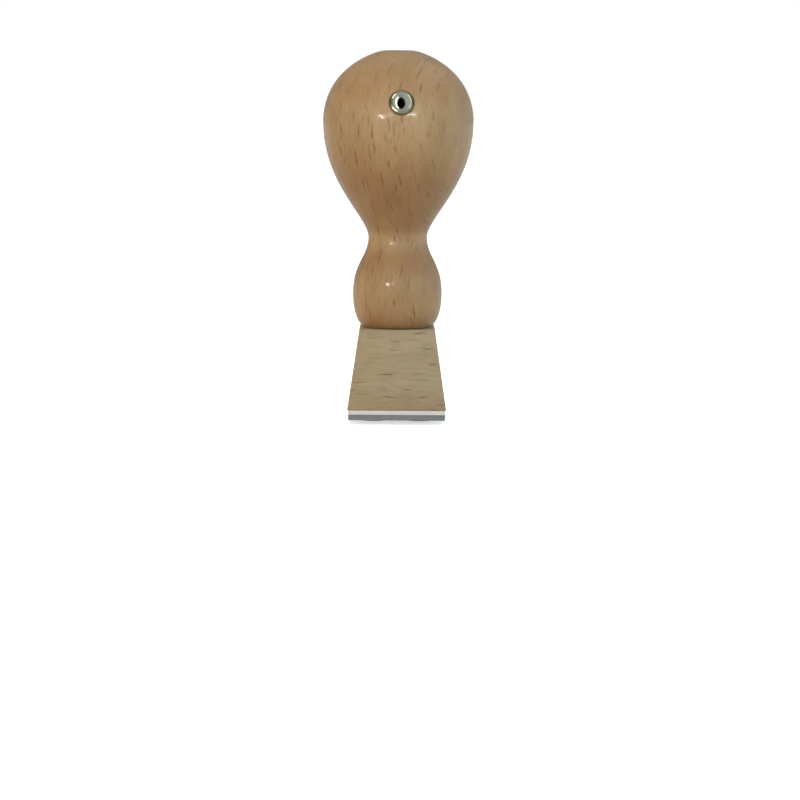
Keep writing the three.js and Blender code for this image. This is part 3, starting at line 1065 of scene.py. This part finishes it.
def cellFoam():
    # closed-cell foam, white, knife-cut: chalky, pitted by its opened cells, with painted shade in the
    # pits
    material, tree = startMaterial("closed-cell foam")
    place = addNode(tree, "ShaderNodeTexCoord").outputs["Object"]
    cells = addNode(tree, "ShaderNodeTexVoronoi", {
        "Vector": place, "Scale": 1 / (cushion["cell"] * mm)}, feature="F1")
    depth = addNode(tree, "ShaderNodeMapRange", {
        "Value": cells.outputs["Distance"], "From Max": 0.7}).outputs[0]
    # painted shade: greyer towards the middle of each opened cell
    pitShade, skin = cushion["tones"]
    tone = addNode(tree, "ShaderNodeMix", {
        0: depth, 6: linearColour(pitShade), 7: linearColour(skin)}, data_type="RGBA").outputs[2]
    bump = addNode(tree, "ShaderNodeBump", {
        "Height": depth, "Distance": cushion["cellDepth"] * mm})
    endMaterial(tree, {
        "Base Color": tone, "Roughness": 0.9, "Specular IOR Level": 0.2,
        "Normal": bump.outputs[0]})
    return material


def isUpright(edge):
    return abs(edge.verts[0].co.z - edge.verts[1].co.z) > 1e-6


def cutSquare(low, high, corner, edgeRound):
    # a square sheet with rounded corners and its cut edges just eased
    bm = boxBetween(low, high)
    upright = [e for e in bm.edges if isUpright(e)]
    bmesh.ops.bevel(
        bm, geom=upright, offset=corner * mm, affect="EDGES", segments=8, profile=0.5, material=-1)
    if edgeRound:
        rims = [e for e in bm.edges if not isUpright(e)]
        bmesh.ops.bevel(
            bm, geom=rims, offset=edgeRound * mm, affect="EDGES", segments=2, profile=0.5,
            material=-1)
    return bm


def makeCushion():
    low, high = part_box("foam_cushion")
    bm = cutSquare(low, high, cushion["corner"], cushion["edgeRound"])
    piece = finishPiece("foamCushion", bm, [cellFoam()], "foam_cushion")


makeCushion()
print("cushion: cut")


# Rubber die: a pair of spectacles standing 1 mm off its plate, face down

die = {
    "relief": 1.0,
    "shoulder": 0.25,          # how far each side spreads down to the plate
    "corner": 0.6,
    "lens": 7.9,
    "bridgeSpan": 2.9,
    "bridgeRise": 1.2,
    "bridgeLift": 1.08,
    "temple": 1.45,
    "templeLift": 0.2,
    "templeInside": 2.0,       # where its bar starts, out from the middle of the lens
    "bar": 0.72,
    "root": 0.5,               # how far the figure is sunk into the plate to join it
    "engraverLine": 0.12,      # the laser's own lines are finer, drawn as coarse as they show
    "dust": 0.6,
    "grit": 0.02,
    "tones": ("#6f7376", "#8f9394"),
    "steps": 96,
    "bridgeSteps": 32,
}


def engravedRubber():
    # grey laser rubber: matte, chalky on the cut floor, with the laser's fine parallel lines
    material, tree = startMaterial("laser-engraved rubber")
    place = addNode(tree, "ShaderNodeTexCoord").outputs["Object"]
    axes = addNode(tree, "ShaderNodeSeparateXYZ", {0: place})
    dust = addNode(tree, "ShaderNodeTexNoise", {
        "Vector": place, "Scale": 1 / (die["dust"] * mm), "Detail": 4.0}).outputs[0]
    rows = addNode(tree, "ShaderNodeMath", {
        0: axes.outputs["Y"], 1: 2 * math.pi / (die["engraverLine"] * mm)},
        operation="MULTIPLY").outputs[0]
    wave = addNode(tree, "ShaderNodeMath", {0: rows}, operation="SINE").outputs[0]
    floorMask = addNode(tree, "ShaderNodeMapRange", {
        "Value": axes.outputs["Z"], "From Min": die["grit"] * mm,
        "From Max": die["relief"] * mm}).outputs[0]
    lines = addNode(tree, "ShaderNodeMath", {
        0: wave, 1: floorMask}, operation="MULTIPLY").outputs[0]
    chalk = addNode(tree, "ShaderNodeMath", {
        0: dust, 1: floorMask}, operation="MULTIPLY").outputs[0]
    plain, dusty = die["tones"]
    tone = addNode(tree, "ShaderNodeMix", {
        0: chalk, 6: linearColour(plain), 7: linearColour(dusty)}, data_type="RGBA").outputs[2]
    height = addNode(tree, "ShaderNodeMath", {
        0: lines, 1: 0.5, 2: dust}, operation="MULTIPLY_ADD").outputs[0]
    bump = addNode(tree, "ShaderNodeBump", {
        "Height": height, "Distance": die["grit"] * mm})
    endMaterial(tree, {
        "Base Color": tone, "Roughness": 0.85, "Specular IOR Level": 0.3,
        "Normal": bump.outputs[0]})
    return material


def barSection(bm, matrix):
    # a bar of the figure cut across: narrow on the face, wider at the plate
    face, foot = die["bar"] / 2, die["bar"] / 2 + die["shoulder"]
    deep = die["relief"] + die["root"]
    corners = [(-face, 0), (face, 0), (foot, die["relief"]), (foot, deep), (-foot, deep),
               (-foot, die["relief"])]
    verts = [bm.verts.new(matrix @ Vector((0, a * mm, z * mm))) for a, z in corners]
    return bm.faces.new(verts)


def straightBar(start, end, lift):
    bm = bmesh.new()
    section = barSection(bm, Matrix.Translation((start * mm, lift * mm, 0)))
    pulled = bmesh.ops.extrude_face_region(bm, geom=[section], use_keep_orig=True)
    moved = [g for g in pulled["geom"] if isinstance(g, bmesh.types.BMVert)]
    bmesh.ops.translate(bm, vec=((end - start) * mm, 0, 0), verts=moved)
    bmesh.ops.recalc_face_normals(bm, faces=bm.faces)
    return bm


def archedBar():
    half = (die["bridgeSpan"] + die["bar"]) / 2
    radius = (half ** 2 + die["bridgeRise"] ** 2) / (2 * die["bridgeRise"])
    middle = die["bridgeLift"] - radius
    reach = math.asin(half / radius)
    bm = bmesh.new()
    start = Matrix.Translation((0, middle * mm, 0)) @ Matrix.Rotation(-reach, 4, "Z")
    section = barSection(bm, start @ Matrix.Translation((0, radius * mm, 0)))
    bmesh.ops.spin(
        bm, geom=[section, *section.edges, *section.verts], cent=(0, middle * mm, 0),
        axis=(0, 0, 1), angle=2 * reach, steps=die["bridgeSteps"])
    bmesh.ops.recalc_face_normals(bm, faces=bm.faces)
    return bm


def roundSpot(radius, x, y):
    deep = die["relief"] + die["root"]
    wide = radius + die["shoulder"]
    bm = spinProfile([
        (0, 0), (radius * mm, 0), (wide * mm, die["relief"] * mm), (wide * mm, deep * mm),
        (0, deep * mm)], die["steps"])
    bmesh.ops.translate(bm, vec=(x * mm, y * mm, 0), verts=bm.verts)
    return bm


def makeDie():
    low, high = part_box("rubber_die")
    lensOffset = (die["lens"] + die["bridgeSpan"]) / 2
    tip = lensOffset + die["lens"] / 2 + die["temple"] - die["bar"] / 2
    plateLow = Vector((low.x, low.y, low.z + die["relief"] * mm))
    bm = cutSquare(plateLow, high, die["corner"], 0)
    parts = [archedBar()]
    for side in (-1, 1):
        parts.append(roundSpot(die["lens"] / 2, side * lensOffset, 0))
        start = lensOffset + die["templeInside"]
        parts.append(straightBar(side * start, side * tip, die["templeLift"]))
        parts.append(roundSpot(die["bar"] / 2, side * tip, die["templeLift"]))
    for part in parts:
        bm = combine(bm, part, "UNION")
    finishPiece("rubberDie", bm, [engravedRubber()], "rubber_die", sharpAngle=25)


makeDie()
print("die: engraved")


# Colour: the plain Standard view transform

bpy.context.scene.view_settings.view_transform = "Standard"
